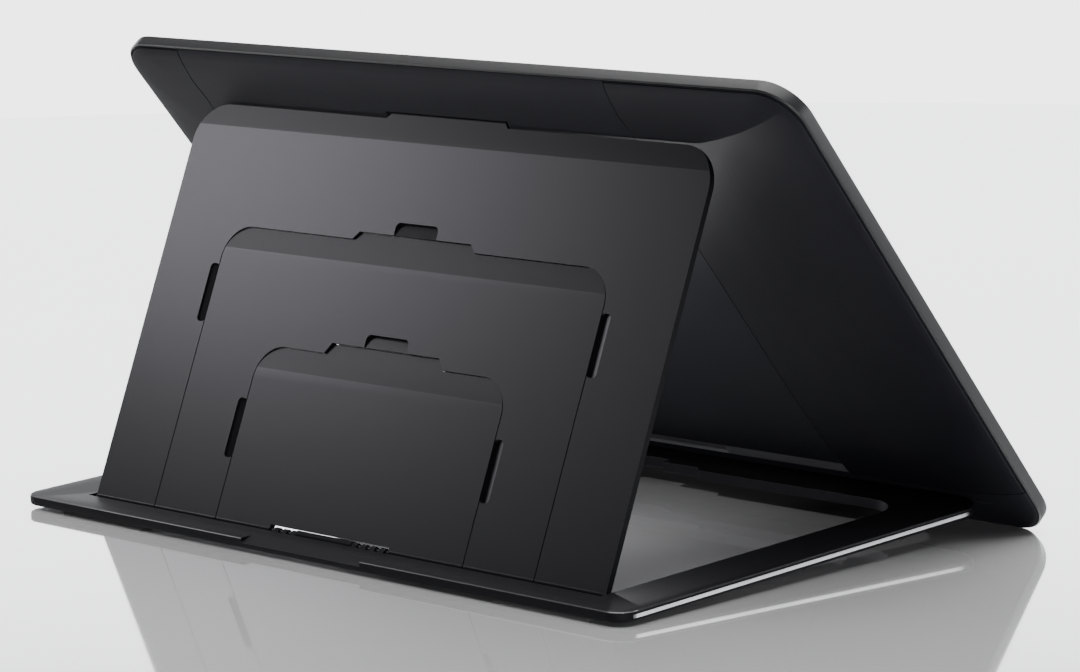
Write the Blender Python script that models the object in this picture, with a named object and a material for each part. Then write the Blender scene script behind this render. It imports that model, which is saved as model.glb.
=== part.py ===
"""Pen display tablet on a folding stand with three nested legs (metres, +Z up).

Origin: centre of the bounding box at floor level. X is the width, the user sits
on the +Y side and the stand's legs face -Y.
"""
import math

import bmesh
import bpy
from mathutils import Matrix, Vector
from mathutils.geometry import tessellate_polygon

MM = 0.001

# Tablet (millimetres, degrees)
TAB_W = 375.0
TAB_H = 248.0
TAB_R = 16.0
RIM_T = 5.19
TILT = 49.45
TAB_FOOT_Y = 115.08
COVER_WALL = 1.5
SKIN_T = 0.9
CROWN = [(0.0, 0.0), (1.6, 1.2), (4.0, 2.1), (9.0, 3.3), (16.0, 4.4), (24.0, 5.3),
         (34.0, 6.4), (46.0, 7.5), (60.0, 8.3), (78.0, 8.8)]

# Stand base
BASE_W = 342.0
BASE_L = 217.5
BASE_T = 4.02
NEAR_R = 8.5
BASE_SLOPE = 2.05
BASE_LIFT = 1.48
BASE_NEAR_Y = -119.0
HOOK_B = 216.5
OPEN_X = 146.1
OPEN_NEAR = 15.2
LIP_T = 0.9
LUGS = (-34.0, -29.0, -24.0, 11.0, 16.2, 21.4, 26.6)
OPEN_FAR = 193.2

# Legs
LEG_ANGLE = 67.94
LEG_T = 2.6
AXIS_B = 20.2
AXIS_N = BASE_T - LEG_T / 2
ROD_R = 0.8
BORE_R = 0.88
BARREL_R = 1.5
LARGE_X, LARGE_L = 145.1, 171.9
MEDIUM_X, MEDIUM_L = 108.1, 120.8
SMALL_X, SMALL_L = 70.4, 73.3
SLIT = 0.8
POCKET_DEPTH = 1.7
WINDOW = (-38.0, 30.2)

BLACK = (0.030, 0.030, 0.035)
SOFT = (0.014, 0.014, 0.018)
GREY = (0.11, 0.11, 0.12)


def clear_scene():
    for obj in list(bpy.data.objects):
        bpy.data.objects.remove(obj, do_unlink=True)


def turn_x(degrees):
    return Matrix.Rotation(math.radians(degrees), 4, "X")


def frame_tablet():
    """Local x is width, y runs up the tablet, z is depth behind the rim's rear plane."""
    return Matrix.Translation((0, TAB_FOOT_Y * MM, 0)) @ turn_x(180.0 - TILT)


def frame_base():
    """Local y runs along the base from its near edge, z is the height above its underside."""
    return Matrix.Translation((0, BASE_NEAR_Y * MM, BASE_LIFT * MM)) @ turn_x(BASE_SLOPE)


def frame_leg():
    """Local origin on the rod's axis, y runs up the leg, z points out of its outer face."""
    axis = frame_base() @ Vector((0, AXIS_B * MM, AXIS_N * MM))
    return Matrix.Translation(axis) @ turn_x(LEG_ANGLE)


def hook_point():
    return frame_base() @ Vector((0, HOOK_B * MM, BASE_T / 2 * MM))


TABLET = frame_tablet()
BASE = frame_base()
LEG = frame_leg()
WORLD = Matrix.Identity(4)
HOOK = TABLET.inverted() @ hook_point() / MM


def arc(cx, cy, r, a0, a1, n):
    pts = []
    for i in range(n + 1):
        a = math.radians(a0 + (a1 - a0) * i / n)
        pts.append((cx + r * math.cos(a), cy + r * math.sin(a)))
    return pts


def rrect(x0, y0, x1, y1, r, n=6):
    pts = arc(x1 - r, y1 - r, r, 0, 90, n)
    pts += arc(x0 + r, y1 - r, r, 90, 180, n)
    pts += arc(x0 + r, y0 + r, r, 180, 270, n)
    pts += arc(x1 - r, y0 + r, r, 270, 360, n)
    return pts


def circle(cx, cy, r, n=24):
    return [(cx + r * math.cos(2 * math.pi * (i + 0.5) / n),
             cy + r * math.sin(2 * math.pi * (i + 0.5) / n)) for i in range(n)]


def finish(name, bm, frame, origin, look):
    """Turns a bmesh in local millimetres into a named object with its own material."""
    bmesh.ops.remove_doubles(bm, verts=bm.verts, dist=1e-5)
    bmesh.ops.recalc_face_normals(bm, faces=bm.faces)
    origin = Vector(origin)
    for vert in bm.verts:
        vert.co = (vert.co - origin) * MM
    mesh = bpy.data.meshes.new(name)
    bm.to_mesh(mesh)
    bm.free()
    obj = bpy.data.objects.new(name, mesh)
    bpy.context.scene.collection.objects.link(obj)
    obj.matrix_world = frame @ Matrix.Translation(origin * MM)
    if look is None:
        obj.hide_render = True
        obj.display_type = "WIRE"
        return obj
    colour, rough, metal = look
    material = bpy.data.materials.new(name)
    material.use_nodes = True
    shader = material.node_tree.nodes["Principled BSDF"]
    shader.inputs["Base Color"].default_value = (*colour, 1.0)
    shader.inputs["Roughness"].default_value = rough
    shader.inputs["Metallic"].default_value = metal
    mesh.materials.append(material)
    return obj


def add_cap(bm, loops, rings):
    """Fills one flat end, whose first loop is the outline and the others are holes."""
    flat = [vert for ring in rings for vert in ring]
    polys = [[Vector((x, y, 0)) for x, y in loop] for loop in loops]
    for tri in tessellate_polygon(polys):
        bm.faces.new([flat[i] for i in tri])


def prism(name, loops, z0, z1, frame=TABLET, origin=(0, 0, 0), look=None):
    bm = bmesh.new()
    low = [[bm.verts.new((x, y, z0)) for x, y in loop] for loop in loops]
    high = [[bm.verts.new((x, y, z1)) for x, y in loop] for loop in loops]
    for a, b in zip(low, high):
        for i in range(len(a)):
            j = (i + 1) % len(a)
            bm.faces.new((a[i], a[j], b[j], b[i]))
    add_cap(bm, loops, low)
    add_cap(bm, loops, high)
    return finish(name, bm, frame, origin, look)


def bar(name, profile, x0, x1, frame, origin=(0, 0, 0), look=None):
    """Extrudes a (y, z) profile along x."""
    bm = bmesh.new()
    ends = [[bm.verts.new((x, y, z)) for y, z in profile] for x in (x0, x1)]
    for i in range(len(profile)):
        j = (i + 1) % len(profile)
        bm.faces.new((ends[0][i], ends[0][j], ends[1][j], ends[1][i]))
    add_cap(bm, [profile], [ends[0]])
    add_cap(bm, [profile], [ends[1]])
    return finish(name, bm, frame, origin, look)


def loft(name, rings, frame=TABLET, origin=(0, 0, 0), look=None):
    """Skins a list of (outline, z) rings that have equal point counts, and caps both ends."""
    bm = bmesh.new()
    rows = [[bm.verts.new((x, y, z)) for x, y in loop] for loop, z in rings]
    for a, b in zip(rows, rows[1:]):
        for i in range(len(a)):
            j = (i + 1) % len(a)
            bm.faces.new((a[i], a[j], b[j], b[i]))
    add_cap(bm, [rings[0][0]], [rows[0]])
    add_cap(bm, [rings[-1][0]], [rows[-1]])
    return finish(name, bm, frame, origin, look)


def boolean(obj, other, operation):
    mod = obj.modifiers.new(operation.lower() + "_" + other.name, "BOOLEAN")
    mod.operation = operation
    mod.solver = "EXACT"
    mod.object = other


def cut(obj, *others):
    for other in others:
        boolean(obj, other, "DIFFERENCE")


def tab_outline(inset, radius=TAB_R):
    half = TAB_W / 2 - inset
    return rrect(-half, inset, half, TAB_H - inset, radius, 7)


def crown_rings(shift, first=0.0):
    """Outlines of the crowned back, lifted by shift, from its middle out to its edge."""
    rings = []
    for inset, depth in reversed(CROWN):
        rings.append((tab_outline(inset + first), depth + shift))
    return rings


def crown_shell(name, top, bottom, look=None, origin=(0, 0, 0)):
    """A crowned sheet between two lifts of the crown."""
    inner = list(reversed(crown_rings(bottom)))
    return loft(name, crown_rings(top) + inner, TABLET, origin, look)


def slot_profile():
    """Side view of the upper slot: flat seat for the tab, then a ramp for its way down."""
    return [(206.5, 6.9), (221.0, 2.5), (228.5, 2.5), (228.5, 12.0), (206.5, 12.0)]


def wing_outlines():
    lower, upper = 25.5, TAB_H - 4.6
    outer = TAB_W / 2 - 4.6
    left = [(outer, upper - 13)] + arc(outer - 13, upper - 13, 13, 10, 90, 8)
    left += [(96.0, upper), (97.5, 232.0), (100.5, 221.0), (101.0, 214.0), (101.0, lower)]
    left += [(outer, lower)]
    right = [(-outer, upper - 13)] + arc(-outer + 13, upper - 13, 13, 170, 90, 8)
    right += [(-149.0, upper), (-147.5, 232.0), (-144.5, 221.0), (-144.0, 214.0)]
    right += [(-144.0, lower), (-outer, lower)]
    return {"left": left, "right": right}


def grow(points, distance):
    """Moves every point of a wing outline away from its middle along x and y."""
    cx = sum(p[0] for p in points) / len(points)
    cy = sum(p[1] for p in points) / len(points)
    grown = []
    for x, y in points:
        grown.append((x + math.copysign(distance, x - cx), y + math.copysign(distance, y - cy)))
    return grown


def build_cover():
    outer = crown_rings(0.0)
    inner = []
    for inset, depth in CROWN:
        inner.append((tab_outline(inset + 1.5), max(depth - COVER_WALL, 0.0)))
    inner[0] = (tab_outline(1.9), 0.0)
    inner[1] = (tab_outline(3.0), 0.01)
    cover = loft("rear_cover", outer + inner, TABLET, HOOK, (SOFT, 0.55, 0.0))
    channel = bar("cut_channel", [(HOOK.y + 2.55 * math.cos(a * math.pi / 12),
                                   HOOK.z + 2.55 * math.sin(a * math.pi / 12))
                                  for a in range(24)], -172.0, 172.0, TABLET)
    slot = bar("cut_slot", slot_profile(), -36.0, 36.0, TABLET)
    lower = prism("cut_lower_slot", [rrect(-36, 27.2, 36, 32.7, 0.8, 2)], 2.4, 12.0)
    lower_wall = bar("lower_slot_wall", [(25.6, 1.2), (33.9, 1.2), (33.9, 5.6), (25.6, 4.6)],
                     -37.4, 37.4, TABLET)
    backing = bar("slot_wall", [(204.0, 6.3), (219.5, 1.2), (230.0, 1.2), (230.0, 5.0),
                                (204.0, 6.9)], -37.6, 37.6, TABLET)
    boolean(cover, backing, "UNION")
    boolean(cover, lower_wall, "UNION")
    cut(cover, channel, slot, lower)
    for side, outline in wing_outlines().items():
        sheet = crown_shell("pocket_sheet_" + side, 2.0, -SKIN_T - 0.3)
        area = prism("pocket_area_" + side, [grow(outline, 0.35)], -4.0, 14.0)
        boolean(sheet, area, "INTERSECT")
        cut(cover, sheet)
        wing = crown_shell("wing_panel_" + side, 0.0, -SKIN_T, (SOFT, 0.5, 0.0), HOOK)
        keep = prism("wing_area_" + side, [outline], -4.0, 14.0)
        boolean(wing, keep, "INTERSECT")
    return cover


KEYS = {"express_key_1": 172.0, "express_key_2": 152.5, "express_key_3": 95.5,
        "express_key_4": 76.0}
KEY_X = 163.0
RING_Y = 124.0


def key_rings(half_x, half_y, radius):
    """A cap that stands a little proud, on a wider flange behind the front plate."""
    cap = rrect(KEY_X - half_x, -half_y, KEY_X + half_x, half_y, radius, 4)
    flange = rrect(KEY_X - half_x - 0.9, -half_y - 0.9, KEY_X + half_x + 0.9, half_y + 0.9,
                   radius + 0.4, 4)
    top = rrect(KEY_X - half_x + 0.4, -half_y + 0.4, KEY_X + half_x - 0.4, half_y - 0.4,
                max(radius - 0.3, 0.4), 4)
    return [(top, -5.5), (cap, -5.2), (cap, -3.5), (flange, -3.5), (flange, -2.6)]


def build_front():
    rim = prism("front_bezel", [tab_outline(0.0)], -RIM_T, -0.3, TABLET, HOOK, (GREY, 0.4, 0.0))
    cavity = prism("cut_cavity", [tab_outline(2.2, TAB_R - 2.0)], -3.89, 2.0)
    window = prism("cut_window", [rrect(-168, 30, 142, 218, 3)], -8.0, 0.0)
    port = prism("cut_port", [rrect(-190.0, 178.0, -184.0, 202.0, 0.5, 2)], -3.5, -0.6)
    cut(rim, cavity, window, port)
    for name, y in KEYS.items():
        hole = prism("cut_" + name, [rrect(KEY_X - 5.3, y - 8.3, KEY_X + 5.3, y + 8.3, 1.8, 4)],
                     -8.0, 0.0)
        cut(rim, hole)
        rings = [([(x, v + y) for x, v in loop], z) for loop, z in key_rings(5.0, 8.0, 1.5)]
        loft(name, rings, TABLET, (KEY_X, y, -3.5), (BLACK, 0.4, 0.0))
    cut(rim, prism("cut_ring", [circle(KEY_X, RING_Y, 15.3, 40)], -8.0, 0.0))
    outer, inner = circle(KEY_X, RING_Y, 15.0, 40), circle(KEY_X, RING_Y, 6.6, 40)
    flange = circle(KEY_X, RING_Y, 15.9, 40)
    ring = loft("rocker_ring", [(circle(KEY_X, RING_Y, 14.5, 40), -5.5), (outer, -5.2),
                                (outer, -3.5), (flange, -3.5), (flange, -2.6)],
                TABLET, (KEY_X, RING_Y, -3.5), (BLACK, 0.35, 0.0))
    cut(ring, prism("cut_ring_bore", [inner], -8.0, 2.0))
    centre = [(circle(KEY_X, RING_Y, 5.8), -5.5), (circle(KEY_X, RING_Y, 6.2), -5.2),
              (circle(KEY_X, RING_Y, 6.2), -2.6)]
    loft("ring_button", centre, TABLET, (KEY_X, RING_Y, -3.5), (BLACK, 0.35, 0.0))
    prism("display_glass", [rrect(-167.7, 30.3, 141.7, 217.7, 2.7)], -5.05, -3.95, TABLET,
          HOOK, ((0.02, 0.02, 0.025), 0.15, 0.0))


def build_stack():
    """The display, its frame and the electronics behind it."""
    prism("lcd_panel", [rrect(-162, 38, 136, 210, 1, 2)], -3.6, -2.2, TABLET, HOOK,
          ((0.05, 0.05, 0.06), 0.3, 0.0))
    prism("backlight_unit", [rrect(-162, 38, 136, 210, 1, 2)], -1.9, 0.3, TABLET, HOOK,
          ((0.6, 0.6, 0.6), 0.4, 0.0))
    holes = [circle(x, y, 1.4, 16) for x in (-167.0, 141.0) for y in (30.0, 216.0)]
    prism("chassis_frame", [rrect(-172, 25, 146, 221, 4, 4), rrect(-162.5, 33.6, 136.5, 210.5, 1, 2)]
          + holes, -3.4, 0.3, TABLET, HOOK, ((0.45, 0.45, 0.47), 0.4, 1.0))
    corner = 0
    for x in (-167.0, 141.0):
        for y in (30.0, 216.0):
            corner += 1
            shank, head = circle(x, y, 1.1, 16), circle(x, y, 2.2, 16)
            loft("frame_screw_%d" % corner, [(shank, -3.3), (shank, 0.6), (head, 0.6),
                                             (head, 1.4)],
                 TABLET, HOOK, ((0.5, 0.5, 0.52), 0.3, 1.0))
    prism("pen_sensor_board", [rrect(-161, 36, 135, 203, 1, 2)], 0.6, 1.4, TABLET, HOOK,
          ((0.02, 0.10, 0.05), 0.5, 0.0))
    prism("shield_plate", [rrect(-158, 36, 132, 203, 1, 2)], 1.7, 2.1, TABLET, HOOK,
          ((0.5, 0.5, 0.52), 0.35, 1.0))
    prism("main_board", [rrect(-60, 90, 60, 170, 1, 2)], 2.4, 3.6, TABLET, HOOK,
          ((0.02, 0.12, 0.06), 0.5, 0.0))
    prism("display_controller", [rrect(-10, 120, 10, 140, 0.5, 2)], 3.9, 5.2, TABLET, HOOK,
          ((0.03, 0.03, 0.03), 0.4, 0.0))
    prism("key_board", [rrect(152, 62, 174, 186, 1, 2)], -1.6, -0.6, TABLET, HOOK,
          ((0.02, 0.12, 0.06), 0.5, 0.0))
    ribbon = [(37.6, -3.0), (34.4, -3.0), (34.4, 2.8), (89.6, 2.8), (89.6, 2.5), (34.75, 2.5),
              (34.75, -2.7), (37.6, -2.7)]
    bar("display_ribbon", ribbon, 20.0, 50.0, TABLET, HOOK, ((0.5, 0.3, 0.05), 0.4, 0.0))
    shell = prism("cable_socket", [rrect(-184.9, 178.4, -175.0, 201.6, 0.8, 2)], -3.4, -0.7,
                  TABLET, HOOK, ((0.6, 0.6, 0.62), 0.3, 1.0))
    cut(shell, prism("cut_socket", [rrect(-188.0, 180.0, -177.0, 200.0, 0.5, 2)], -3.0, -1.1))


def leg_outer(half, top, radius, tab, rise):
    """Right half of a leg's outline from its foot to the middle of the tab."""
    pts = [(half, 0.0)] + arc(half - radius, top - radius, radius, 0, 90, 7)
    pts += [(tab + 3.2, top), (tab, top + rise)]
    return pts


def leg_inner(half, top, radius, tab, rise):
    """Right half of the opening that holds the next smaller leg."""
    pts = [(half, 0.0)] + arc(half - radius, top - radius, radius, 0, 90, 7)
    pts += [(tab + 4.0, top), (tab + 0.9, top + rise + 0.6)]
    return pts


def finger_pockets(half, top, rise, y0, y1):
    """Blind pockets beside the next smaller leg, where a fingertip lifts its edge."""
    crest = top + rise + 0.6
    outlines = [rrect(-12.0, crest - 2.0, 12.0, crest + 5.0, 2.4, 4)]
    for side in (-1, 1):
        x0, x1 = sorted((side * (half - 0.5), side * (half + 4.6)))
        outlines.append(rrect(x0, y0, x1, y1, 1.9, 4))
    floor = LEG_T / 2 - POCKET_DEPTH
    return [prism("pocket_%d_%d" % (half, i), [outline], floor, 4.0, LEG)
            for i, outline in enumerate(outlines)]


def mirror(half):
    return half + [(-x, y) for x, y in reversed(half)]


def build_leg(name, half, top, radius, tab, rise, inner, look, pockets=()):
    outline = mirror(leg_outer(half, top, radius, tab, rise))
    if inner:
        outline = outline + list(reversed(mirror(inner)))
    leg = prism(name, [outline], -LEG_T / 2, LEG_T / 2, LEG, (0, 0, 0), look)
    spans = [(-SMALL_X, WINDOW[0]), (WINDOW[1], SMALL_X)]
    if inner:
        spans = [(-half, -inner[0][0]), (inner[0][0], half)]
    ring = [(BARREL_R * math.cos(a * math.pi / 8), BARREL_R * math.sin(a * math.pi / 8))
            for a in range(16)]
    for i, (x0, x1) in enumerate(spans):
        boolean(leg, bar("barrel_%s_%d" % (name, i), ring, x0, x1, LEG), "UNION")
    if not inner:
        cut(leg, bar("cut_window_" + name, [(-3, -4), (2.6, -4), (2.6, 4), (-3, 4)],
                     WINDOW[0], WINDOW[1], LEG))
    wedge = [(top - 9.4, LEG_T / 2), (top + 8, LEG_T / 2 - 1.55), (top + 8, 4), (top - 9.4, 4)]
    cut(leg, bar("cut_bevel_" + name, wedge, -160, 160, LEG))
    hole = [(BORE_R * math.cos((a + 0.5) * math.pi / 8), BORE_R * math.sin((a + 0.5) * math.pi / 8))
            for a in range(16)]
    cut(leg, bar("cut_bore_" + name, hole, -160, 160, LEG))
    cut(leg, *pockets)
    return leg


def build_legs():
    look = (BLACK, 0.42, 0.0)
    for_medium = leg_inner(MEDIUM_X + SLIT, MEDIUM_L + SLIT, 14.8, 31.0, 3.2)
    for_small = leg_inner(SMALL_X + SLIT, SMALL_L + SLIT, 14.8, 30.0, 4.4)
    large_pockets = finger_pockets(MEDIUM_X + SLIT, MEDIUM_L + SLIT, 3.2, 79.0, 104.0)
    medium_pockets = finger_pockets(SMALL_X + SLIT, SMALL_L + SLIT, 4.4, 25.4, 50.4)
    build_leg("large_leg", LARGE_X, LARGE_L, 17.0, 31.0, 3.3, for_medium, look, large_pockets)
    build_leg("medium_leg", MEDIUM_X, MEDIUM_L, 14.0, 31.0, 3.2, for_small, look,
              medium_pockets)
    build_leg("small_leg", SMALL_X, SMALL_L, 14.0, 30.0, 4.4, None, look)


def base_outlines():
    half = BASE_W / 2
    outer = arc(half - 20, BASE_L - 20, 20, 0, 90, 8)
    outer += arc(-half + 20, BASE_L - 20, 20, 90, 180, 8)
    outer += arc(-half + NEAR_R, NEAR_R, NEAR_R, 180, 270, 7)
    outer += arc(half - NEAR_R, NEAR_R, NEAR_R, 270, 360, 7)
    right = [(OPEN_X, 23.5)]
    right += arc(OPEN_X - 18, OPEN_FAR - 18, 18, 0, 90, 7)
    right += [(35.2, OPEN_FAR), (32.2, OPEN_FAR + 3.9), (12.0, OPEN_FAR + 3.9)]
    right += [(12.0, OPEN_FAR + 7.4), (10.5, OPEN_FAR + 8.9)]
    return outer, mirror(right)


def build_base():
    outer, opening = base_outlines()
    base = prism("base_plate", [outer, opening], 0.0, BASE_T, BASE, (0, 0, 0), (BLACK, 0.42, 0.0))
    trough = [(OPEN_NEAR, 4.1), (17.9, 2.2), (17.9, LIP_T), (26.0, LIP_T), (26.0, 9.0),
              (OPEN_NEAR, 9.0)]
    cut(base, bar("cut_trough", trough, -OPEN_X, OPEN_X, BASE))
    lug = [(16.5, LIP_T - 0.3), (AXIS_B + 1.1, LIP_T - 0.3)]
    lug += arc(AXIS_B, AXIS_N, 1.5, -42, 150, 9)
    lug += [(AXIS_B - 2.4, AXIS_N - 0.1), (16.5, AXIS_N - 0.1)]
    for i, mid in enumerate(LUGS):
        boolean(base, bar("lug_%d" % i, lug, mid - 1.3, mid + 1.3, BASE), "UNION")
    hole = [(AXIS_B + BORE_R * math.cos((a + 0.5) * math.pi / 8),
             AXIS_N + BORE_R * math.sin((a + 0.5) * math.pi / 8)) for a in range(16)]
    cut(base, bar("cut_base_bore", hole, -152.8, 152.8, BASE))
    lip = [(-2.0, 2.2), (0.6, 2.2), (6.0, 4.1), (6.0, 8.0), (-2.0, 8.0)]
    cut(base, bar("cut_base_lip", lip, -34.0, 34.0, BASE))
    for side, tag in ((-1, "right"), (1, "left")):
        x0, x1 = sorted((side * 100.0, side * 150.0))
        foot = [(BASE_NEAR_Y + 4.0, 0.0), (BASE_NEAR_Y + 12.0, 0.0), (BASE_NEAR_Y + 12.0, 2.6),
                (BASE_NEAR_Y + 4.0, 2.6)]
        bar("base_foot_" + tag, foot, x0, x1, WORLD, (0, BASE_NEAR_Y, 0),
            ((0.02, 0.02, 0.02), 0.8, 0.0))
        room = [(3.5, -1.0), (12.5, -1.0), (12.5, 1.3), (3.5, 1.3)]
        cut(base, bar("cut_foot_" + tag, room, x0 - 0.4, x1 + 0.4, BASE))
    rod = [(ROD_R * math.cos((a + 0.5) * math.pi / 8), ROD_R * math.sin((a + 0.5) * math.pi / 8))
           for a in range(16)]
    bar("hinge_rod", rod, -152.4, 152.4, LEG, (0, 0, 0), ((0.6, 0.6, 0.62), 0.25, 1.0))


def main():
    clear_scene()
    build_cover()
    build_front()
    build_stack()
    build_base()
    build_legs()


main()
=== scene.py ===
"""Looks for the pen display tablet and its folding stand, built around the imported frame."""
import math

import bmesh
import bpy
from mathutils import Matrix, Vector
from mathutils.geometry import tessellate_polygon


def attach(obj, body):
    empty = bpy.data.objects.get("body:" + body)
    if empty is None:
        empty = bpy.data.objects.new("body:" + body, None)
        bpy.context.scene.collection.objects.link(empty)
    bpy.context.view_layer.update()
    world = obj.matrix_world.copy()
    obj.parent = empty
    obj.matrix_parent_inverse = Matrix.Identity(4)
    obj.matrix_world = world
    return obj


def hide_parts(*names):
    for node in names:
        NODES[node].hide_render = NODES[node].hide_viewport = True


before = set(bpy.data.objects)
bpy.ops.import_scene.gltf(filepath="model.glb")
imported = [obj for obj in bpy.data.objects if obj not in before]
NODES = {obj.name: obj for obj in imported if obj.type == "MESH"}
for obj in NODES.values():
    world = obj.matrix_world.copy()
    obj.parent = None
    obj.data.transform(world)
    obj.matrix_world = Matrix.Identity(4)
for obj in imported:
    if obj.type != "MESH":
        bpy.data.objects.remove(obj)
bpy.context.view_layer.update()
MM = 0.001

# Sizes in millimetres and angles in degrees. Most are the frame's own. The slits, the seams,
# the panels' skin, the window's top, the sleeve and the upper slot are finer here.
TAB_W, TAB_H, TAB_R, TILT = 375.0, 248.0, 16.0, 49.45
TAB_FOOT_Y = 115.08
BASE_W, BASE_L, BASE_T, BASE_SLOPE = 342.0, 217.5, 4.02, 2.05
BASE_LIFT, BASE_NEAR_Y, NEAR_R, FAR_R = 1.48, -119.0, 8.5, 20
OPEN_X, OPEN_NEAR, OPEN_FAR, OPEN_R = 146.1, 15.2, 193.2, 18
LEG_ANGLE, LEG_T, AXIS_B = 67.94, 2.6, 20.2
AXIS_N = BASE_T - LEG_T / 2
LIP_T = 0.9
LUGS = (-34.0, -29.0, -24.0, 11.0, 16.2, 21.4, 26.6)
WINDOW, WINDOW_TOP = (-38.0, 30.2), 2.1
ROD_R, BORE_R, BARREL_R = 0.8, 0.88, 1.5
# Legs: half width and length from the axis, corners, and the half width and rise of the tabs
LARGE_X, LARGE_L = 145.1, 171.9
MEDIUM_X, MEDIUM_L = 108.1, 120.8
SMALL_X, SMALL_L = 70.4, 73.3
LARGE_LEG_R, LEG_R, INNER_R = 17.0, 14.0, 14.5
TAB_X, SMALL_TAB_X = 31.0, 30.0
LARGE_RISE, MEDIUM_RISE, SMALL_RISE = 3.3, 3.2, 4.4
SLIT, TOP_SLIT = 0.5, 0.2
STRIP_L = 9.4
SLEEVE_R, SLEEVE_X = 1.85, (-22.5, 9.5)
SKIN_T, COVER_WALL, SEAM, WING_R = 0.5, 1.5, 1.35, 16
UPPER_SLOT_X, LOWER_SLOT_X, LOWER_SLOT_Y = 34.8, 36.0, (27.2, 32.7)
CHANNEL_R = 2.55
SCREEN, SCREEN_R, GLASS_GAP = (-168.0, 30.0, 142.0, 218.0), 3.0, 0.3
KEY_X, RING_Y, RING_HOLE_R, RING_BORE_R = 163.0, 124.0, 15.3, 6.6
KEY_HALF_X, KEY_HALF_Y, KEY_R, KEY_GAP = 5.0, 8.0, 1.5, 0.3
KEYS = {"express_key_1": 172.0, "express_key_2": 152.5, "express_key_3": 95.5,
        "express_key_4": 76.0}
FAR = 160.0  # beyond the stand on either side

# Depth of the back behind the rim (second) at a distance in from the outline (first)
CROWN = [(0.0, 0.0), (1.6, 1.2), (4.0, 2.1), (9.0, 3.3), (16.0, 4.4), (24.0, 5.3),
         (34.0, 6.4), (46.0, 7.5), (60.0, 8.3), (78.0, 8.8)]
# Insets or radii (first) and depths (second) of the lofts
RIM_EDGE = ((0.6, -5.19), (0.28, -5.1), (0.06, -4.85), (0.0, -4.5), (0.0, -0.1), (0.25, 0.25),
            (0.46, 0.5))
KEY_EDGE = ((0.9, -5.5), (0.45, -5.44), (0.12, -5.28), (0.0, -5.0), (0.0, -3.5), (-0.9, -3.5),
            (-0.9, -2.6))
RING_EDGE = ((13.9, -5.5), (14.5, -5.44), (14.85, -5.28), (15.0, -5.0), (15.0, -3.5),
             (15.9, -3.5), (15.9, -2.6))
BUTTON_EDGE = ((5.4, -5.5), (5.9, -5.42), (6.2, -5.2), (6.2, -2.6))
GLASS_EDGE = ((0.25, -5.05), (0.0, -4.85), (0.0, -3.95))
BASE_EDGE = ((0.55, 0.0), (0.2, 0.25), (0.03, 0.8), (0.0, 1.3), (0.0, 2.7), (0.04, 3.7),
             (0.36, BASE_T))


def turn_x(degrees):
    return Matrix.Rotation(math.radians(degrees), 4, "X")


# Local frames: x across; y up the tablet, along the base or up the leg; z out of the tablet's
# back, the base's top or the leg's outer face
TABLET = Matrix.Translation((0, TAB_FOOT_Y * MM, 0)) @ turn_x(180.0 - TILT)
BASE = Matrix.Translation((0, BASE_NEAR_Y * MM, BASE_LIFT * MM)) @ turn_x(BASE_SLOPE)
LEG = Matrix.Translation(BASE @ Vector((0, AXIS_B * MM, AXIS_N * MM))) @ turn_x(LEG_ANGLE)
WORLD = Matrix.Identity(4)
# The hook channel's axis at the base's far edge, in the tablet's frame
HOOK = TABLET.inverted() @ (BASE @ Vector((0, 216.5 * MM, BASE_T / 2 * MM))) / MM


# ---------------------------------------------------------------- outlines
def arc(cx, cy, r, a0, a1, n):
    """Points on an arc from angle a0 to a1, in n steps."""
    pts = []
    for i in range(n + 1):
        a = math.radians(a0 + (a1 - a0) * i / n)
        pts.append((cx + r * math.cos(a), cy + r * math.sin(a)))
    return pts


def rrect(x0, y0, x1, y1, r, n=10):
    pts = arc(x1 - r, y1 - r, r, 0, 90, n)
    pts += arc(x0 + r, y1 - r, r, 90, 180, n)
    pts += arc(x0 + r, y0 + r, r, 180, 270, n)
    pts += arc(x1 - r, y0 + r, r, 270, 360, n)
    return pts


def circle(cx, cy, r, n=48):
    return [(cx + r * math.cos(2 * math.pi * i / n),
             cy + r * math.sin(2 * math.pi * i / n)) for i in range(n)]


def mirror(half):
    """Closes a half outline, given at positive x, with its mirror image."""
    return half + [(-x, y) for x, y in reversed(half)]


# ---------------------------------------------------------------- mesh makers
def to_object(name, bm, place):
    bmesh.ops.remove_doubles(bm, verts=bm.verts, dist=1e-5)
    bmesh.ops.recalc_face_normals(bm, faces=bm.faces)
    for vert in bm.verts:
        vert.co = place @ (vert.co * MM)
    mesh = bpy.data.meshes.new(name)
    bm.to_mesh(mesh)
    bm.free()
    obj = bpy.data.objects.new(name, mesh)
    bpy.context.scene.collection.objects.link(obj)
    return obj


def cap(bm, ring, loop):
    """Closes an end with one face, or with triangles where the outline is too bent."""
    try:
        bm.faces.new(ring)
    except ValueError:
        for tri in tessellate_polygon([[Vector((x, y, 0)) for x, y in loop]]):
            bm.faces.new([ring[i] for i in tri])


def loft(name, rings, place=TABLET):
    """Joins outlines with the same number of points, each at its own z, into a solid."""
    bm = bmesh.new()
    rows = [[bm.verts.new((x, y, z)) for x, y in loop] for loop, z in rings]
    for a, b in zip(rows, rows[1:]):
        for i in range(len(a)):
            j = (i + 1) % len(a)
            bm.faces.new((a[i], a[j], b[j], b[i]))
    cap(bm, rows[0], rings[0][0])
    cap(bm, rows[-1], rings[-1][0])
    return to_object(name, bm, place)


def prism(name, loop, z0, z1, place=TABLET):
    return loft(name, [(loop, z0), (loop, z1)], place)


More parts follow.
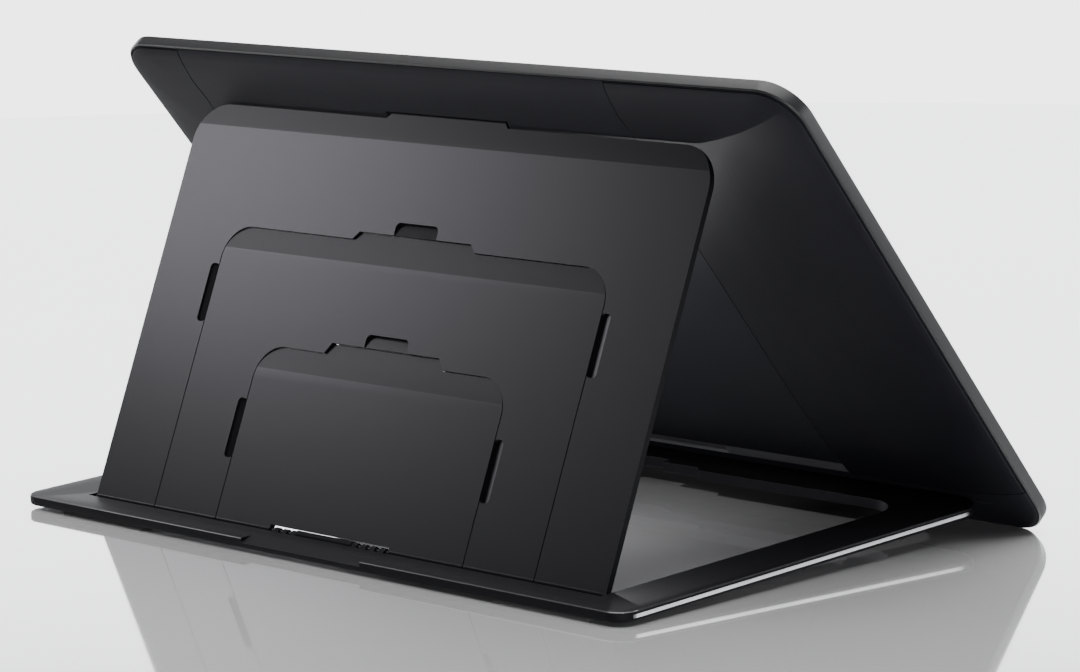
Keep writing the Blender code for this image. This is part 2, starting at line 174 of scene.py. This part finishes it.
def bar(name, profile, x0, x1, place):
    """A profile in y and z, drawn out along x."""
    bm = bmesh.new()
    rows = [[bm.verts.new((x, y, z)) for y, z in profile] for x in (x0, x1)]
    for i in range(len(profile)):
        j = (i + 1) % len(profile)
        bm.faces.new((rows[0][i], rows[0][j], rows[1][j], rows[1][i]))
    cap(bm, rows[0], profile)
    cap(bm, rows[1], profile)
    return to_object(name, bm, place)


def sloped(name, loop, bottom, top, place):
    """A prism whose lower end follows a plane given as a function of x and y."""
    bm = bmesh.new()
    low = [bm.verts.new((x, y, bottom(x, y))) for x, y in loop]
    high = [bm.verts.new((x, y, top)) for x, y in loop]
    for i in range(len(loop)):
        j = (i + 1) % len(loop)
        bm.faces.new((low[i], low[j], high[j], high[i]))
    cap(bm, low, loop)
    cap(bm, high, loop)
    return to_object(name, bm, place)


def bake(obj):
    """Replaces an object's mesh by its evaluated one and drops its modifiers."""
    depsgraph = bpy.context.evaluated_depsgraph_get()
    mesh = bpy.data.meshes.new_from_object(obj.evaluated_get(depsgraph))
    obj.modifiers.clear()
    obj.data = mesh
    mesh.name = obj.name


def boolean(obj, operation, *others):
    """Runs EXACT booleans one after the other and removes the operands."""
    for other in others:
        mod = obj.modifiers.new(operation.lower(), "BOOLEAN")
        mod.operation = operation
        mod.solver = "EXACT"
        mod.object = other
        bpy.context.view_layer.update()
        bake(obj)
        bpy.data.objects.remove(other, do_unlink=True)
    return obj


def soften(obj, width, segments=2, angle=30.0):
    """Rounds the sharp edges and shades the rest smooth."""
    mod = obj.modifiers.new("edge", "BEVEL")
    mod.width = width * MM
    mod.segments = segments
    mod.limit_method = "ANGLE"
    mod.angle_limit = math.radians(angle)
    mod.use_clamp_overlap = True
    mod.harden_normals = True
    smooth(obj, angle)
    return obj


def smooth(obj, angle=30.0):
    obj.data.shade_smooth()
    obj.data.set_sharp_from_angle(angle=math.radians(angle))
    return obj


# ---------------------------------------------------------------- materials
def nodes_of(name):
    material = bpy.data.materials.new(name)
    material.use_nodes = True
    tree = material.node_tree
    return material, tree, tree.nodes["Principled BSDF"]


def noise(tree, scale, detail=4.0, rough=0.55, stretch=(1, 1, 1)):
    coords = tree.nodes.new("ShaderNodeTexCoord")
    mapping = tree.nodes.new("ShaderNodeMapping")
    mapping.inputs["Scale"].default_value = stretch
    texture = tree.nodes.new("ShaderNodeTexNoise")
    texture.inputs["Scale"].default_value = scale
    texture.inputs["Detail"].default_value = detail
    texture.inputs["Roughness"].default_value = rough
    tree.links.new(coords.outputs["Object"], mapping.inputs["Vector"])
    tree.links.new(mapping.outputs["Vector"], texture.inputs["Vector"])
    return texture.outputs["Fac"]


def remap(tree, value, low, high):
    """Spreads the middle of a noise's range over low to high."""
    node = tree.nodes.new("ShaderNodeMapRange")
    node.inputs["From Min"].default_value = 0.3
    node.inputs["From Max"].default_value = 0.7
    node.inputs["To Min"].default_value = low
    node.inputs["To Max"].default_value = high
    tree.links.new(value, node.inputs["Value"])
    return node.outputs["Result"]


def two_tone(tree, value, dark, light):
    node = tree.nodes.new("ShaderNodeMix")
    node.data_type = "RGBA"
    node.inputs[6].default_value = (*dark, 1.0)
    node.inputs[7].default_value = (*light, 1.0)
    tree.links.new(remap(tree, value, 0.0, 1.0), node.inputs[0])
    return node.outputs[2]


def bump(tree, value, strength, distance, normal=None):
    node = tree.nodes.new("ShaderNodeBump")
    node.inputs["Strength"].default_value = strength
    node.inputs["Distance"].default_value = distance
    tree.links.new(value, node.inputs["Height"])
    if normal:
        tree.links.new(normal, node.inputs["Normal"])
    return node.outputs["Normal"]


# A violet tint on the dark plastics' reflections: painted light colour, in place of a tint of the
# lamps.
VIOLET = (0.90, 0.88, 1.0)


def plastic(name, colour, rough, grain=2600.0, relief=0.25, vary=0.12, metal=0.0, level=0.5,
            tint=(1.0, 1.0, 1.0)):
    """Moulded plastic: spark-eroded grain, faint mottling and uneven gloss."""
    material, tree, shader = nodes_of(name)
    wide = noise(tree, 22.0, 5.0)
    fine = noise(tree, grain, 2.0, 0.6)
    dark = tuple(c * (1.0 - vary) for c in colour)
    light = tuple(c * (1.0 + vary) for c in colour)
    tree.links.new(two_tone(tree, wide, dark, light), shader.inputs["Base Color"])
    tree.links.new(remap(tree, fine, rough - 0.05, rough + 0.05), shader.inputs["Roughness"])
    tree.links.new(bump(tree, fine, relief, 0.00004), shader.inputs["Normal"])
    shader.inputs["Metallic"].default_value = metal
    shader.inputs["Specular IOR Level"].default_value = level
    shader.inputs["Specular Tint"].default_value = (*tint, 1.0)
    return material


def brushed(name, colour, rough, stretch):
    """Drawn or rolled metal with grain along one axis."""
    material, tree, shader = nodes_of(name)
    grain = noise(tree, 900.0, 4.0, 0.6, stretch)
    dark = tuple(c * 0.82 for c in colour)
    tree.links.new(two_tone(tree, grain, dark, colour), shader.inputs["Base Color"])
    tree.links.new(remap(tree, grain, rough - 0.06, rough + 0.1), shader.inputs["Roughness"])
    tree.links.new(bump(tree, grain, 0.2, 0.00003), shader.inputs["Normal"])
    shader.inputs["Metallic"].default_value = 1.0
    return material


STAND = plastic("stand_black", (0.0010, 0.0010, 0.0014), 0.34, tint=VIOLET)
# Low-gloss finish: the stand's own matte near face and sides, and painted shade that keeps the
# slit edges, the legs' sides and fold, the trough and the rod's sleeve dark.
MATTE_AND_SHADE = plastic("stand_matte_and_painted_shade", (0.0012, 0.0012, 0.0016), 0.6, level=0.12, tint=VIOLET)
STRIP = plastic("stand_black_strip", (0.0010, 0.0010, 0.0014), 0.40, level=0.33, tint=VIOLET)
DECK = plastic("stand_deck", (0.0020, 0.0020, 0.0027), 0.52, level=0.18, tint=VIOLET)
# Painted highlight: a lighter grey on the base's top and rounded edges, for the thin light line
# along them.
EDGE_HIGHLIGHT = plastic("stand_painted_edge_highlight", (0.024, 0.024, 0.027), 0.32, level=0.7)
# Painted highlight: a band of polished metal along the middle of the base's sides, where the side
# face shows a bright highlight stripe.
HIGHLIGHT_STRIPE = plastic("painted_highlight_stripe", (0.34, 0.34, 0.35), 0.24, 3000.0, 0.05, 0.1, 1.0)
COVER = plastic("soft_touch_cover", (0.0066, 0.0066, 0.0088), 0.55, 1900.0, 0.2, 0.1,
                level=0.14, tint=VIOLET)
WING = plastic("soft_touch_wing", (0.0052, 0.0052, 0.0070), 0.50, 1900.0, 0.2, 0.1,
               level=0.14, tint=VIOLET)
# Painted light: a lighter grey on the lower slot's inner faces, for the lit bar in the slot.
SLOT_LIGHT = plastic("lower_slot_painted_light", (0.045, 0.045, 0.050), 0.6, 1200.0, 0.3)
RIM = plastic("rim_grey", (0.014, 0.014, 0.0155), 0.38, 3000.0, 0.2, level=0.4)
KEYCAP = plastic("key_black", (0.02, 0.02, 0.024), 0.35)
RUBBER = plastic("foot_rubber", (0.015, 0.015, 0.016), 0.75, 1500.0, 0.5)
GLASS = plastic("etched_glass", (0.006, 0.006, 0.008), 0.18, 4000.0, 0.05, 0.05)
STEEL = brushed("drawn_steel", (0.07, 0.07, 0.075), 0.42, (0.05, 1, 1))
SHEET = brushed("rolled_aluminium", (0.55, 0.55, 0.57), 0.35, (0.1, 1, 1))
BOARD = plastic("solder_resist", (0.01, 0.09, 0.04), 0.35, 900.0, 0.3)
CHIP = plastic("chip_black", (0.02, 0.02, 0.02), 0.4)
FILM = plastic("ribbon_film", (0.35, 0.17, 0.03), 0.3)
WHITE = plastic("backlight_white", (0.6, 0.6, 0.6), 0.4)


def dress(obj, *materials):
    obj.data.materials.clear()
    for material in materials:
        obj.data.materials.append(material)


def paint(obj, place, rule):
    """Sets each face's material slot by a rule on its middle (local, mm) and world normal."""
    inverse = place.inverted()
    for face in obj.data.polygons:
        face.material_index = rule(inverse @ face.center / MM, face.normal)


def piece(obj, body, node, slot, *materials):
    if materials:
        dress(obj, *materials)
    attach(obj, body)
    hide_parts(node)
    return obj


# ---------------------------------------------------------------- tablet
def crown_depth(inset):
    for (x0, y0), (x1, y1) in zip(CROWN, CROWN[1:]):
        if inset <= x1:
            return y0 + (y1 - y0) * (inset - x0) / (x1 - x0)
    return CROWN[-1][1]


def tab_outline(inset, radius=TAB_R, n=14):
    half = TAB_W / 2 - inset
    return rrect(-half, inset, half, TAB_H - inset, radius, n)


def insets():
    """Distances in from the outline at which the back has a ring: close near the rim."""
    return [0.8, 1.1, 1.6, 2.4, 3.2, 4.0, 5.2, 7.0] + [9.0 + 3.0 * i for i in range(24)]


def crown_rings(shift):
    return [(tab_outline(i), crown_depth(i) + shift) for i in reversed(insets())]


def crown_shell(name, top, bottom):
    """A sheet that follows the back, between two shifts of its surface."""
    return loft(name, crown_rings(top) + list(reversed(crown_rings(bottom))))


def wing_outlines():
    """Outlines of the side panels, each with an inner seam that bends near the top."""
    lower, upper, outer = 25.5, TAB_H - SEAM, TAB_W / 2 - SEAM
    outlines = {}
    for side, sign, seam in (("left", 1, 101.0), ("right", -1, -144.0)):
        corner = arc(sign * (outer - WING_R), upper - WING_R, WING_R, 90 - sign * 80, 90, 12)
        outlines[side] = [(sign * outer, upper - WING_R)] + corner
        outlines[side] += [(seam - 5.0, upper), (seam - 3.5, 232.0), (seam - 0.5, 221.0),
                           (seam, 214.0), (seam, lower), (sign * outer, lower)]
    return outlines


def grow(points, distance):
    """Moves the points of an outline away from its middle along x and y."""
    cx = sum(p[0] for p in points) / len(points)
    cy = sum(p[1] for p in points) / len(points)
    return [(x + math.copysign(distance, x - cx), y + math.copysign(distance, y - cy))
            for x, y in points]


def build_cover():
    inner = [(tab_outline(0.85), 0.1), (tab_outline(1.9), 0.0), (tab_outline(3.0), 0.01)]
    inner += [(tab_outline(i + 1.5), max(crown_depth(i) - COVER_WALL, 0.02))
              for i in insets() if i > 2.4]
    cover = loft("back_cover", crown_rings(0.0) + inner)
    upper_wall = [(204.0, 6.3), (219.5, 1.2), (226.5, 1.2), (226.5, 4.6), (204.0, 6.9)]
    lower_wall = [(25.6, 1.2), (33.9, 1.2), (33.9, 5.6), (25.6, 4.6)]
    boolean(cover, "UNION", bar("upper_wall", upper_wall, -37.6, 37.6, TABLET),
            bar("lower_wall", lower_wall, -37.4, 37.4, TABLET))
    upper_slot = [(206.5, 6.9), (221.0, 2.5), (224.5, 2.5), (224.5, 12.0), (206.5, 12.0)]
    lower_slot = rrect(-LOWER_SLOT_X, LOWER_SLOT_Y[0], LOWER_SLOT_X, LOWER_SLOT_Y[1], 0.8, 4)
    channel = circle(HOOK.y, HOOK.z, CHANNEL_R)
    boolean(cover, "DIFFERENCE", bar("channel", channel, -172.0, 172.0, TABLET),
            bar("upper_slot", upper_slot, -UPPER_SLOT_X, UPPER_SLOT_X, TABLET),
            prism("lower_slot", lower_slot, 2.4, 12.0))
    for side, outline in wing_outlines().items():
        sheet = crown_shell("sheet", 2.0, -SKIN_T - 0.1)
        boolean(sheet, "INTERSECT", prism("area", grow(outline, 0.45), -4.0, 14.0))
        boolean(cover, "DIFFERENCE", sheet)
        wing = crown_shell("grip_panel_" + side, 0.0, -SKIN_T)
        boolean(wing, "INTERSECT", prism("area", outline, -4.0, 14.0))
        smooth(wing, 22.0)
        piece(wing, "tablet", "wing_panel_" + side, "soft_cover", WING)
    dress(cover, COVER, SLOT_LIGHT)
    # The lower slot's inner faces take the lighter grey: painted light.
    paint(cover, TABLET, lambda c, normal: int(
        abs(c.x) < LOWER_SLOT_X + 0.2 and LOWER_SLOT_Y[0] - 0.2 < c.y < LOWER_SLOT_Y[1] + 0.2
        and 2.3 < c.z < 6.5))
    smooth(cover, 22.0)
    piece(cover, "tablet", "rear_cover", "soft_cover")


def key_outline(y, inset, radius):
    half_x, half_y = KEY_HALF_X - inset, KEY_HALF_Y - inset
    return rrect(KEY_X - half_x, y - half_y, KEY_X + half_x, y + half_y, radius, 8)


def build_keys(rim):
    """Cuts the rim's key holes and makes the keys, which have a collar behind the rim."""
    for name, y in KEYS.items():
        hole = key_outline(y, -KEY_GAP, KEY_R + KEY_GAP)
        boolean(rim, "DIFFERENCE", prism("hole", hole, -8.0, 0.0))
        rings = [(key_outline(y, inset, max(KEY_R - inset * 0.5, 0.5)), depth)
                 for inset, depth in KEY_EDGE]
        piece(smooth(loft("cap_" + name, rings), 40), name, name, "key_plastic", KEYCAP)


def build_ring():
    ring = loft("rocker", [(circle(KEY_X, RING_Y, r), z) for r, z in RING_EDGE])
    boolean(ring, "DIFFERENCE", prism("bore", circle(KEY_X, RING_Y, RING_BORE_R), -8.0, 2.0))
    piece(smooth(ring, 40), "rocker_ring", "rocker_ring", "key_plastic", KEYCAP)
    button = loft("ring_cap", [(circle(KEY_X, RING_Y, r), z) for r, z in BUTTON_EDGE])
    piece(smooth(button, 40), "ring_button", "ring_button", "key_plastic", KEYCAP)


def screen_outline(inset, radius):
    x0, y0, x1, y1 = SCREEN
    return rrect(x0 + inset, y0 + inset, x1 - inset, y1 - inset, radius)


def build_front():
    rim = loft("front_frame", [(tab_outline(inset), depth) for inset, depth in RIM_EDGE])
    boolean(rim, "DIFFERENCE", prism("cavity", tab_outline(2.2, TAB_R - 2.0), -3.89, 2.0),
            prism("step", tab_outline(0.52), -0.3, 2.0),
            prism("window", screen_outline(0.0, SCREEN_R), -8.0, 0.0),
            prism("port", rrect(-190.0, 178.0, -184.0, 202.0, 0.5, 4), -3.5, -0.6),
            prism("ring_hole", circle(KEY_X, RING_Y, RING_HOLE_R), -8.0, 0.0))
    build_keys(rim)
    piece(smooth(rim, 35), "tablet", "front_bezel", "rim_plastic", RIM)
    build_ring()
    glass = loft("screen_glass", [(screen_outline(GLASS_GAP + inset, SCREEN_R - GLASS_GAP), z)
                                  for inset, z in GLASS_EDGE])
    piece(smooth(glass, 40), "tablet", "display_glass", "display_glass", GLASS)


# ---------------------------------------------------------------- stand
def leg_half(half, top, radius, tab, rise):
    """Half of a leg's outline, at positive x: straight side, round corner and raised tab."""
    pts = [(half, 0.0)] + arc(half - radius, top - radius, radius, 0, 90, 18)
    return pts + [(tab + 3.2, top), (tab, top + rise)]


def leg_hole(half, top, tab, rise):
    """Half of the opening for the next smaller leg, wider than that leg by the slits."""
    return leg_half(half + SLIT, top + TOP_SLIT, INNER_R, tab + 0.4, rise + 0.1)


def finger_pockets(half, top, rise, y0, y1):
    """Blind pockets with sloped floors above and beside the next smaller leg."""
    half, top = half + SLIT, top + SLIT
    crest = top + rise + 0.2
    outlines = [rrect(-12.0, crest - 2.0, 12.0, crest + 5.0, 2.4, 10)]
    for side in (-1, 1):
        x0, x1 = sorted((side * (half - 0.5), side * (half + 4.6)))
        outlines.append(rrect(x0, y0, x1, y1, 1.9, 8))
    slopes = [lambda x, y: 1.0 - 0.27 * (y - crest + 0.5)]
    slopes.append(lambda x, y: -0.45 + 0.26 * (-x - half))
    slopes.append(lambda x, y: -0.45 + 0.26 * (x - half))
    return [sloped("pocket", outline, slope, 4.0, LEG)
            for outline, slope in zip(outlines, slopes)]


def tube_profile(r, n=32):
    """A circle round the hinge axis, turned by half a step."""
    return [(r * math.cos(2 * math.pi * (i + 0.5) / n), r * math.sin(2 * math.pi * (i + 0.5) / n))
            for i in range(n)]


def leg_slot(top):
    """Rule for a leg's materials: 1 on the sloped band at its top edge, 2 on its sides and fold,
    where the matte material is painted shade.
    """
    turn = LEG.inverted().to_3x3()

    def rule(centre, normal):
        normal = turn @ normal
        if centre.y > top - STRIP_L - 0.1 and normal.z > 0.3 and normal.y > 0.02:
            return 1
        return 2 if abs(normal.x) > 0.7 or centre.y < 0.3 else 0

    return rule


def build_leg(name, half, top, radius, tab, rise, inner=None, pockets=()):
    """Makes a leg with its hinge barrels; inner is the opening's half outline, if any."""
    outline = mirror(leg_half(half, top, radius, tab, rise))
    if inner:
        outline = outline + list(reversed(mirror(inner)))
    leg = prism("panel_" + name, outline, -LEG_T / 2, LEG_T / 2, LEG)
    spans = [(-SMALL_X, WINDOW[0]), (WINDOW[1], SMALL_X)]
    if inner:
        spans = [(-half, -inner[0][0]), (inner[0][0], half)]
    for lo, hi in spans:
        boolean(leg, "UNION", bar("barrel", tube_profile(BARREL_R), lo, hi, LEG))
    if not inner:
        window = [(-3, -4), (WINDOW_TOP, -4), (WINDOW_TOP, 4), (-3, 4)]
        boolean(leg, "DIFFERENCE", bar("window", window, WINDOW[0], WINDOW[1], LEG))
    low, high = top - STRIP_L, top + 8
    wedge = [(low, LEG_T / 2), (high, LEG_T / 2 - 1.55), (high, 4), (low, 4)]
    boolean(leg, "DIFFERENCE", bar("wedge", wedge, -FAR, FAR, LEG),
            bar("bore", tube_profile(BORE_R), -FAR, FAR, LEG))
    boolean(leg, "DIFFERENCE", *pockets)
    dress(leg, STAND, STRIP, MATTE_AND_SHADE)
    paint(leg, LEG, leg_slot(top))
    # The rounded edges take the matte material too: painted shade along the slits.
    soften(leg, 0.17).modifiers["edge"].material = 2
    piece(leg, name, name, "stand_plastic")


def build_legs():
    build_leg("large_leg", LARGE_X, LARGE_L, LARGE_LEG_R, TAB_X, LARGE_RISE,
              leg_hole(MEDIUM_X, MEDIUM_L, TAB_X, MEDIUM_RISE),
              finger_pockets(MEDIUM_X, MEDIUM_L, MEDIUM_RISE, 79.0, 104.0))
    build_leg("medium_leg", MEDIUM_X, MEDIUM_L, LEG_R, TAB_X, MEDIUM_RISE,
              leg_hole(SMALL_X, SMALL_L, SMALL_TAB_X, SMALL_RISE),
              finger_pockets(SMALL_X, SMALL_L, SMALL_RISE, 25.4, 50.4))
    build_leg("small_leg", SMALL_X, SMALL_L, LEG_R, SMALL_TAB_X, SMALL_RISE)


def base_outline(inset):
    half, far = BASE_W / 2 - inset, BASE_L - inset
    pts = arc(half - FAR_R, far - FAR_R, FAR_R, 0, 90, 18)
    pts += arc(-half + FAR_R, far - FAR_R, FAR_R, 90, 180, 18)
    pts += arc(-half + NEAR_R, inset + NEAR_R, NEAR_R, 180, 270, 18)
    pts += arc(half - NEAR_R, inset + NEAR_R, NEAR_R, 270, 360, 18)
    return pts


def base_slot(centre, normal):
    """Rule for the base's materials: 1 polished stripe, a painted highlight; 2 matte near face
    and sides, and painted shade on the trough; 3 lighter edge, a painted highlight.
    """
    if abs(normal.x) > 0.97 and abs(centre.x) > 168 and 1.5 < centre.z < 2.5:
        return 1
    near = normal.y < -0.55 and centre.y < 12.0 and centre.z < 3.7
    side = abs(normal.x) > 0.6 and abs(centre.x) > 165 and centre.z < 3.7
    trough = 15.0 < centre.y < 28.0 and centre.z < 3.9 and normal.z < 0.97
    if near or side or trough:
        return 2
    return 3 if centre.z > 3.7 and normal.z < 0.9 and centre.y < 9.0 else 0


def build_base():
    right = [(OPEN_X, 23.5)]
    right += arc(OPEN_X - OPEN_R, OPEN_FAR - OPEN_R, OPEN_R, 0, 90, 16)
    right += [(35.2, OPEN_FAR), (32.2, OPEN_FAR + 3.9), (12.0, OPEN_FAR + 3.9)]
    right += [(12.0, OPEN_FAR + 7.4), (10.5, OPEN_FAR + 8.9)]
    base = loft("stand_plate", [(base_outline(inset), z) for inset, z in BASE_EDGE], BASE)
    trough = [(OPEN_NEAR, 4.1), (17.9, 2.2), (17.9, LIP_T), (26.0, LIP_T), (26.0, 9.0),
              (OPEN_NEAR, 9.0)]
    boolean(base, "DIFFERENCE", prism("opening", mirror(right), -3.0, 9.0, BASE),
            bar("trough", trough, -OPEN_X, OPEN_X, BASE))
    lug = [(16.5, LIP_T - 0.3), (AXIS_B + 1.1, LIP_T - 0.3)]
    lug += arc(AXIS_B, AXIS_N, BARREL_R, -42, 150, 18)
    lug += [(AXIS_B - 2.4, AXIS_N - 0.1), (16.5, AXIS_N - 0.1)]
    for mid in LUGS:
        boolean(base, "UNION", bar("lug", lug, mid - 1.3, mid + 1.3, BASE))
    hole = [(AXIS_B + y, AXIS_N + z) for y, z in tube_profile(BORE_R)]
    lip = [(-2.0, 2.2), (0.6, 2.2), (6.0, 4.1), (6.0, 8.0), (-2.0, 8.0)]
    boolean(base, "DIFFERENCE", bar("bore", hole, -152.8, 152.8, BASE),
            bar("lip", lip, -34.0, 34.0, BASE))
    for side, tag in ((-1, "right"), (1, "left")):
        x0, x1 = sorted((side * 100.0, side * 150.0))
        foot = rrect(x0, BASE_NEAR_Y + 4.0, x1, BASE_NEAR_Y + 12.0, 1.5, 6)
        foot_obj = soften(prism("foot_strip_" + tag, foot, 0.0, 2.6, WORLD), 0.3)
        piece(foot_obj, "stand_base", "base_foot_" + tag, "rubber", RUBBER)
        room = [(3.5, -1.0), (12.5, -1.0), (12.5, 1.3), (3.5, 1.3)]
        boolean(base, "DIFFERENCE", bar("room", room, x0 - 0.4, x1 + 0.4, BASE))
    dress(base, DECK, HIGHLIGHT_STRIPE, MATTE_AND_SHADE, EDGE_HIGHLIGHT)
    paint(base, BASE, base_slot)
    # The rounded edges take the lighter grey: a painted highlight along them.
    soften(base, 0.22, 2, 40.0).modifiers["edge"].material = 3
    piece(base, "stand_base", "base_plate", "stand_plastic")


def build_rod():
    """The hinge rod, with a dark sleeve where the small leg's window shows it; the sleeve's matte
    finish is painted shade.
    """
    rod = bar("steel_rod", tube_profile(ROD_R, 40), -152.4, 152.4, LEG)
    boolean(rod, "UNION", bar("sleeve", tube_profile(SLEEVE_R, 40), *SLEEVE_X, LEG))
    smooth(rod, 40)
    dress(rod, STEEL, MATTE_AND_SHADE)
    paint(rod, LEG, lambda c, normal: int(SLEEVE_X[0] - 0.1 < c.x < SLEEVE_X[1] + 0.1
                                          and math.hypot(c.y, c.z) > ROD_R + 0.05))
    piece(rod, "stand_base", "hinge_rod", "steel")


def dress_inner():
    """The inner parts keep the frame's own shapes and get materials only."""
    looks = {"lcd_panel": CHIP, "backlight_unit": WHITE, "chassis_frame": SHEET,
             "shield_plate": SHEET, "pen_sensor_board": BOARD, "main_board": BOARD,
             "key_board": BOARD, "display_controller": CHIP, "display_ribbon": FILM,
             "cable_socket": STEEL}
    for i in range(1, 5):
        looks["frame_screw_%d" % i] = STEEL
    for name, material in looks.items():
        dress(NODES[name], material)


# ---------------------------------------------------------------- stage
SENSOR, LENS = 36.0, 131.114
CAMERA_PLACE = (1.10855, -1.12543, 0.32582)
CAMERA_TURN = (44.14, -9.04, -0.82)  # yaw, pitch and roll
FLOOR_R = 1.7
HORIZON, ZENITH = 3.8, 0.04  # strengths of the sky, low and high
SKY_Z = (0.18, 0.34)  # the sky falls off between these heights of a direction
FACING = (-0.70, 0.71, 0.0)  # the side of the sky that is bright
SECTOR = (0.15, 0.7, 0.02, 1.0)  # along FACING from 0.15 to 0.7, the share rises to 1


def look_matrix(place, target):
    forward = (Vector(target) - Vector(place)).normalized()
    return Matrix.Translation(place) @ forward.to_track_quat("-Z", "Y").to_matrix().to_4x4()


def add_to_scene(name, data):
    obj = bpy.data.objects.new(name, data)
    bpy.context.scene.collection.objects.link(obj)
    return obj


def softbox(name, place, target, width, height, power):
    light = bpy.data.lights.new(name, "AREA")
    light.shape = "RECTANGLE"
    light.size, light.size_y = width, height
    light.energy = power
    obj = add_to_scene(name, light)
    obj.matrix_world = look_matrix(place, target)
    obj.visible_camera = False


def build_camera():
    """A long lens from the rear right, slightly above, with the fitted turn."""
    camera = bpy.data.cameras.new("camera")
    camera.sensor_width = SENSOR
    camera.lens = LENS
    camera.clip_end = 30.0
    obj = add_to_scene("camera", camera)
    yaw, pitch, roll = (math.radians(a) for a in CAMERA_TURN)
    forward = Vector((-math.sin(yaw) * math.cos(pitch), math.cos(yaw) * math.cos(pitch),
                      math.sin(pitch)))
    right = forward.cross(Vector((0, 0, 1))).normalized()
    up = right.cross(forward)
    c, s = math.cos(roll), math.sin(roll)
    right, up = c * right + s * up, c * up - s * right
    turn = Matrix((right, up, -forward)).transposed().to_4x4()
    obj.matrix_world = Matrix.Translation(CAMERA_PLACE) @ turn
    bpy.context.scene.camera = obj


def world_ramp(tree, value, from_min, from_max, to_min, to_max):
    ramp = tree.nodes.new("ShaderNodeMapRange")
    ramp.interpolation_type = "SMOOTHSTEP"
    for name, number in (("From Min", from_min), ("From Max", from_max), ("To Min", to_min),
                         ("To Max", to_max)):
        ramp.inputs[name].default_value = number
    tree.links.new(value, ramp.inputs["Value"])
    return ramp.outputs["Result"]


def build_floor():
    """A pale disc, glossy enough to mirror the object faintly."""
    bm = bmesh.new()
    bmesh.ops.create_circle(bm, cap_ends=True, segments=96, radius=FLOOR_R)
    mesh = bpy.data.meshes.new("floor")
    bm.to_mesh(mesh)
    bm.free()
    floor = add_to_scene("floor", mesh)
    material, tree, shader = nodes_of("pale_floor")
    wide = noise(tree, 3.0)
    tree.links.new(two_tone(tree, wide, (0.92, 0.92, 0.93), (0.95, 0.95, 0.96)),
                   shader.inputs["Base Color"])
    shader.inputs["Roughness"].default_value = 0.05
    shader.inputs["Metallic"].default_value = 0.66
    mesh.materials.append(material)


def build_sky():
    """A light band along the horizon on one side, before a plain white background."""
    world = bpy.data.worlds.new("studio")
    bpy.context.scene.world = world
    world.use_nodes = True
    tree = world.node_tree
    coords = tree.nodes.new("ShaderNodeTexCoord")
    split = tree.nodes.new("ShaderNodeSeparateXYZ")
    tree.links.new(coords.outputs["Generated"], split.inputs["Vector"])
    horizon = world_ramp(tree, split.outputs["Z"], *SKY_Z, HORIZON, ZENITH)
    facing = tree.nodes.new("ShaderNodeVectorMath")
    facing.operation = "DOT_PRODUCT"
    facing.inputs[1].default_value = FACING
    tree.links.new(coords.outputs["Generated"], facing.inputs[0])
    sector = world_ramp(tree, facing.outputs["Value"], *SECTOR)
    product = tree.nodes.new("ShaderNodeMath")
    product.operation = "MULTIPLY"
    tree.links.new(horizon, product.inputs[0])
    tree.links.new(sector, product.inputs[1])
    tree.links.new(product.outputs["Value"], tree.nodes["Background"].inputs["Strength"])
    tree.nodes["Background"].inputs["Color"].default_value = (0.97, 0.98, 1.0, 1.0)
    backdrop = tree.nodes.new("ShaderNodeBackground")
    backdrop.inputs["Color"].default_value = (1.0, 1.0, 1.0, 1.0)
    backdrop.inputs["Strength"].default_value = HORIZON
    rays = tree.nodes.new("ShaderNodeLightPath")
    mix = tree.nodes.new("ShaderNodeMixShader")
    tree.links.new(rays.outputs["Is Camera Ray"], mix.inputs["Fac"])
    tree.links.new(tree.nodes["Background"].outputs["Background"], mix.inputs[1])
    tree.links.new(backdrop.outputs["Background"], mix.inputs[2])
    tree.links.new(mix.outputs["Shader"], tree.nodes["World Output"].inputs["Surface"])


def build_lights():
    """Places in metres and powers in watts; the sun's strength is in watts per square metre."""
    sun = bpy.data.lights.new("overhead_fill", "SUN")
    sun.energy = 6.5
    sun.angle = math.radians(75.0)
    add_to_scene("overhead_fill", sun).matrix_world = look_matrix((-0.2, 0.8, 2.6), (0, 0, 0))
    softbox("key_left", (-0.64, -0.41, 0.43), (0, -0.05, 0.09), 0.27, 0.27, 1.45)
    softbox("edge_right", (0.80, 0.65, 0.30), (0.17, 0.0, 0.01), 0.55, 0.28, 2.0)
    softbox("back_fill", (0.95, -0.75, 0.10), (0.12, 0.0, 0.06), 0.30, 0.12, 8.5)
    bounce = bpy.data.lights.new("inner_bounce", "POINT")
    bounce.energy = 0.28
    bounce.shadow_soft_size = 0.0
    add_to_scene("inner_bounce", bounce).location = (0.03, -0.02, 0.08)


build_cover()
build_front()
build_base()
build_rod()
build_legs()
dress_inner()
build_camera()
build_floor()
build_sky()
build_lights()
